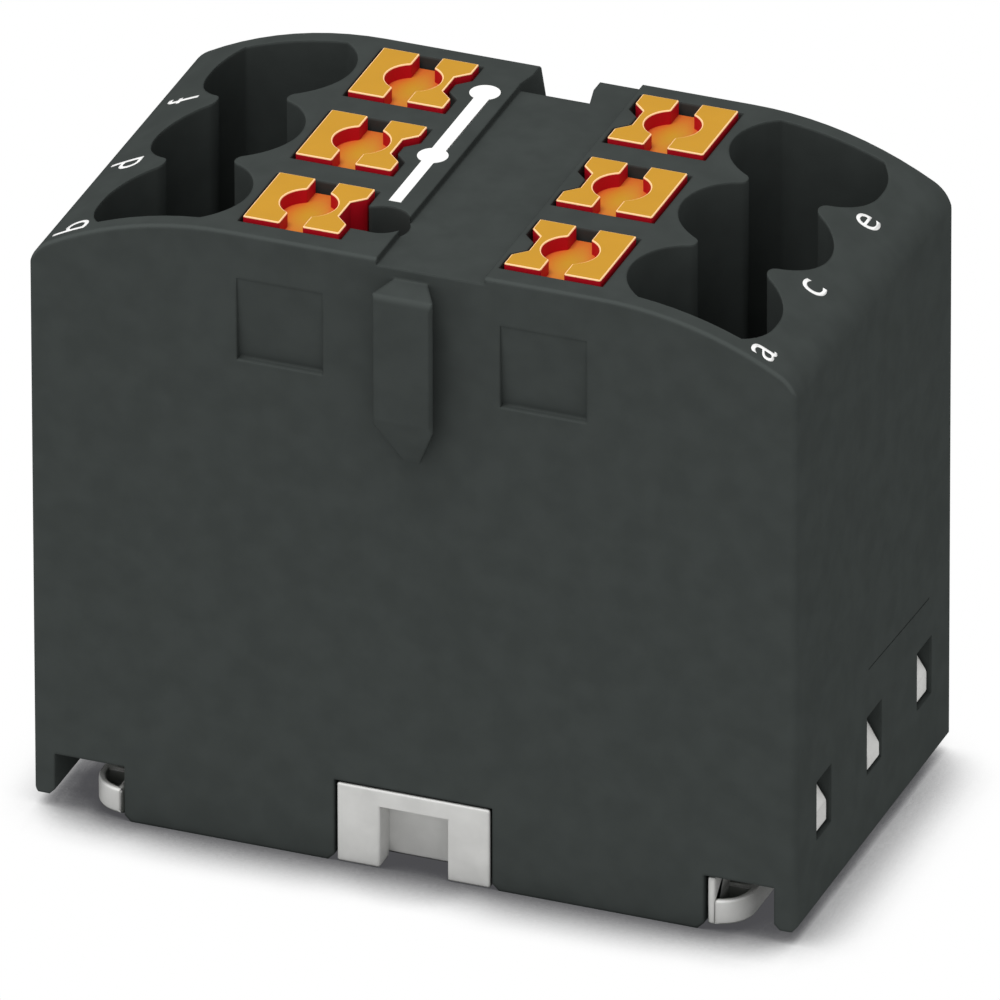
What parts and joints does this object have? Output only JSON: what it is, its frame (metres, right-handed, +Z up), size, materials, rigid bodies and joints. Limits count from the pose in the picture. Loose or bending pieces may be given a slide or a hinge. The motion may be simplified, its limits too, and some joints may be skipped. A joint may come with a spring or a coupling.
{
  "type": "power distribution block",
  "caption": "Push-in power distribution block with sprung release buttons, scalloped conductor entries, one common busbar and a snap-in base.",
  "frame": {"origin": "middle of the footprint, coupling rib included, on the plane that the housing skirts stand on", "axes": "+X along the length of the block, +Y from the front with the coupling rib to the rear with the dovetail groove, +Z up towards the push-buttons"},
  "size_m": [0.0298, 0.0172, 0.0255],
  "materials": {
    "housing_plastic": "fine matte moulded polyamide, anthracite",
    "base_plastic": "moulded polyamide, light grey",
    "button_plastic": "moulded plastic, orange",
    "bar_metal": "tinned copper, stamped",
    "spring_steel": "rolled stainless spring steel"
  },
  "bodies": {
    "body": {"housing": "housing_plastic", "base_plate": "base_plastic", "busbar": "bar_metal", "spring_a": "spring_steel", "spring_b": "spring_steel", "spring_c": "spring_steel", "spring_d": "spring_steel", "spring_e": "spring_steel", "spring_f": "spring_steel"},
    "release_a": {"button_a": "button_plastic"},
    "release_b": {"button_b": "button_plastic"},
    "release_c": {"button_c": "button_plastic"},
    "release_d": {"button_d": "button_plastic"},
    "release_e": {"button_e": "button_plastic"},
    "release_f": {"button_f": "button_plastic"}
  },
  "joints": [
    {"name": "press_a", "type": "slide", "parent": "body", "child": "release_a", "axis": [0, 0, -1], "range_m": [0, 0.0013], "stiffness_N_per_m": 2000, "deforming": ["spring_a"]},
    {"name": "press_b", "type": "slide", "parent": "body", "child": "release_b", "axis": [0, 0, -1], "range_m": [0, 0.0013], "stiffness_N_per_m": 2000, "deforming": ["spring_b"]},
    {"name": "press_c", "type": "slide", "parent": "body", "child": "release_c", "axis": [0, 0, -1], "range_m": [0, 0.0013], "stiffness_N_per_m": 2000, "deforming": ["spring_c"]},
    {"name": "press_d", "type": "slide", "parent": "body", "child": "release_d", "axis": [0, 0, -1], "range_m": [0, 0.0013], "stiffness_N_per_m": 2000, "deforming": ["spring_d"]},
    {"name": "press_e", "type": "slide", "parent": "body", "child": "release_e", "axis": [0, 0, -1], "range_m": [0, 0.0013], "stiffness_N_per_m": 2000, "deforming": ["spring_e"]},
    {"name": "press_f", "type": "slide", "parent": "body", "child": "release_f", "axis": [0, 0, -1], "range_m": [0, 0.0013], "stiffness_N_per_m": 2000, "deforming": ["spring_f"]}
  ]
}
